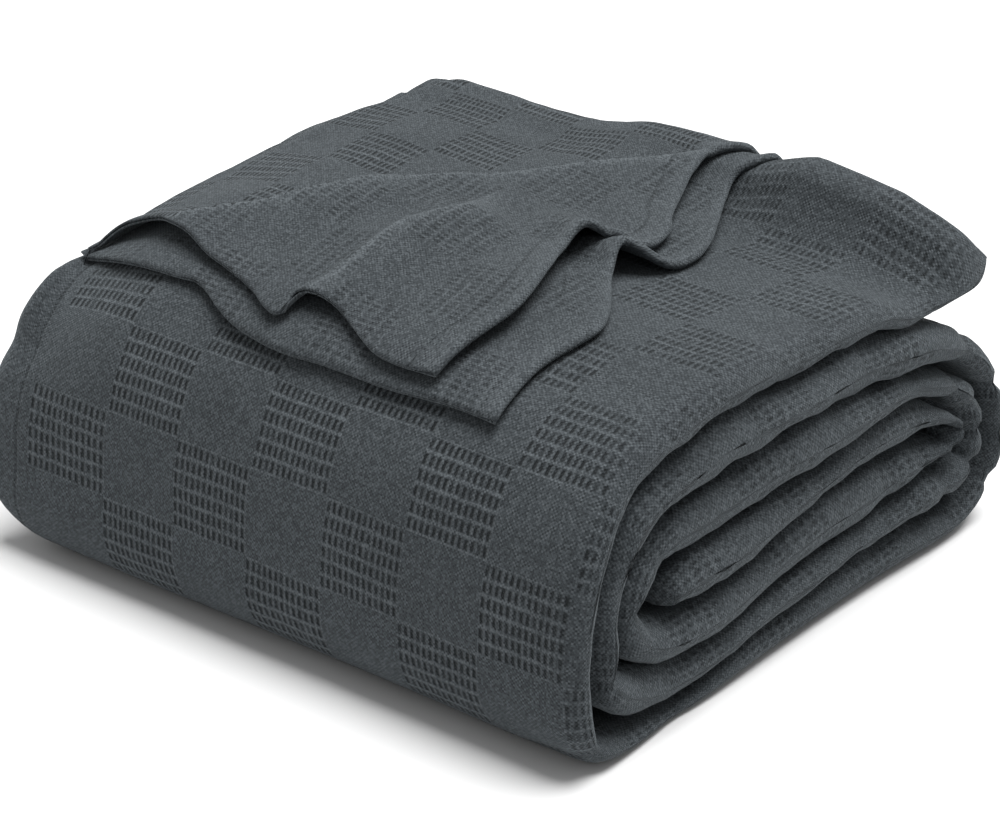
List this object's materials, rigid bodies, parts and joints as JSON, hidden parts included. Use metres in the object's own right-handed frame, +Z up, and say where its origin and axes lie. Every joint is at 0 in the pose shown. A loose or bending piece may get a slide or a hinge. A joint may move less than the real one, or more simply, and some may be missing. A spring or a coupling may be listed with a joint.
{
  "type": "folded waffle weave cotton blanket",
  "caption": "Soft cotton blanket with a waffle check, folded lengthwise and rolled flat into a low bundle, its hemmed end laid over the top in two layers.",
  "frame": {"origin": "middle of the bundle's footprint, on the surface that it rests on", "axes": "+X along the roll towards the end whose spiral of layers faces the viewer, -Y towards the long front face, +Z up"},
  "size_m": [0.4079, 0.3772, 0.194],
  "materials": {
    "cotton": "soft matt brushed cotton in dark slate grey, plain weave with squares of waffle weave"
  },
  "bodies": {
    "root": {"blanket": "cotton"}
  },
  "joints": []
}
